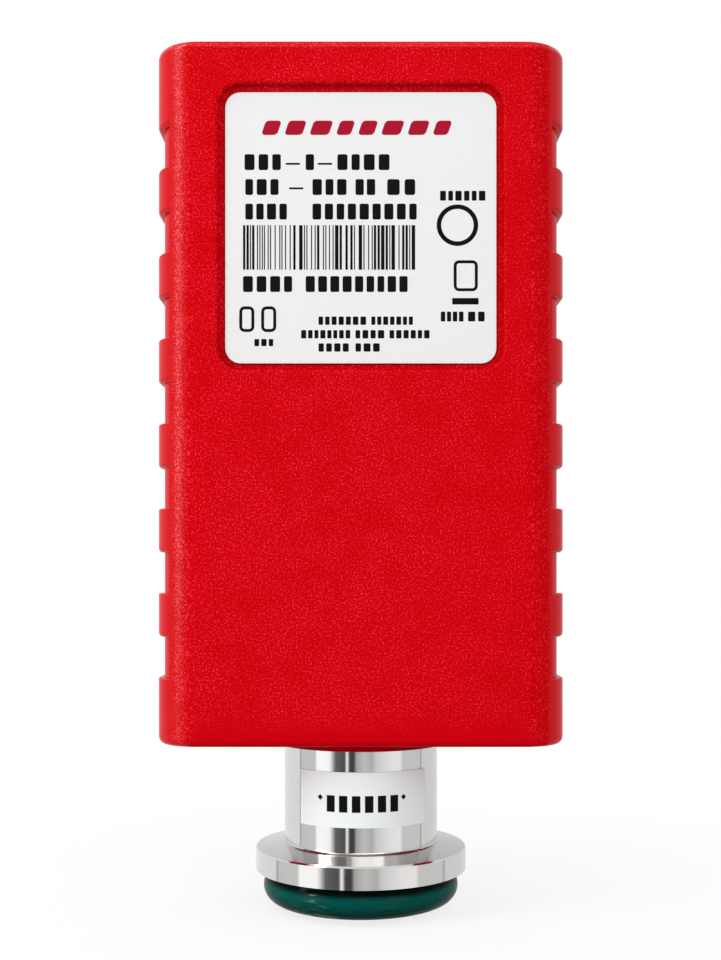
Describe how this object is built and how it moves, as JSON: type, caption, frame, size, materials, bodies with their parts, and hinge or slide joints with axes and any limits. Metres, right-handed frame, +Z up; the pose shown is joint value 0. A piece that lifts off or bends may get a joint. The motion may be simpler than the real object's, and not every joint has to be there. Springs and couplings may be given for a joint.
{
  "type": "heat-loss vacuum gauge",
  "caption": "Upright vacuum gauge: ribbed moulded housing with a recessed front label, turned steel neck with a clamp flange and sealing ring below, cable socket and trimmers on top.",
  "frame": {"origin": "centre of the flange's sealing face, on the tube's axis", "axes": "+Z up along the tube's axis towards the cable socket, -Y out of the label, +X to the right when looking at the label"},
  "size_m": [0.055, 0.03, 0.1178],
  "materials": {
    "turned_steel": "bright turned, fine lathe lines",
    "ring_steel": "satin",
    "header_metal": "dull plated",
    "green_rubber": "glossy moulded",
    "sealing_glass": "fused",
    "gold_plate": "plated",
    "board_laminate": "coated laminate",
    "black_plastic": "moulded",
    "red_case": "fine spark texture",
    "screw_steel": "zinc plated",
    "trimmer_blue": "moulded",
    "white_ceramic": "fired",
    "screw_brass": "turned",
    "capacitor_sleeve": "shrunk sleeve",
    "resistor_coat": "lacquered",
    "label_paper": "coated"
  },
  "bodies": {
    "gauge": {"gauge_tube": "turned_steel", "centring_ring": "ring_steel", "flange_o_ring": "green_rubber", "inlet_filter": "ring_steel", "feedthrough_header": "header_metal", "feedthrough_glass": "sealing_glass", "feedthrough_pins": "gold_plate", "filament": "header_metal", "tube_board": "board_laminate", "link_block_body": "black_plastic", "link_pins": "gold_plate", "rear_cover": "red_case", "main_board": "board_laminate", "board_screws": "screw_steel", "socket_housing": "black_plastic", "socket_contacts": "gold_plate", "zero_trimmer_body": "trimmer_blue", "zero_trimmer_base": "white_ceramic", "atmosphere_trimmer_body": "trimmer_blue", "atmosphere_trimmer_base": "white_ceramic", "capacitors": "capacitor_sleeve", "voltage_regulator": "black_plastic", "bridge_amplifier": "black_plastic", "output_amplifier": "black_plastic", "bridge_resistors": "resistor_coat", "front_cover": "red_case", "cover_screws": "screw_steel", "front_label": "label_paper", "neck_label": "label_paper"},
    "zero_screw": {"zero_trimmer_rotor": "screw_brass"},
    "atmosphere_screw": {"atmosphere_trimmer_rotor": "screw_brass"}
  },
  "joints": [
    {"name": "zero_adjust", "type": "hinge", "parent": "gauge", "child": "zero_screw", "pos_m": [-0.0135, 0.0037, 0.10535], "axis": [0, 0, 1], "range_deg": [-130, 130]},
    {"name": "atmosphere_adjust", "type": "hinge", "parent": "gauge", "child": "atmosphere_screw", "pos_m": [0.0135, 0.0037, 0.10535], "axis": [0, 0, 1], "range_deg": [-130, 130]}
  ]
}
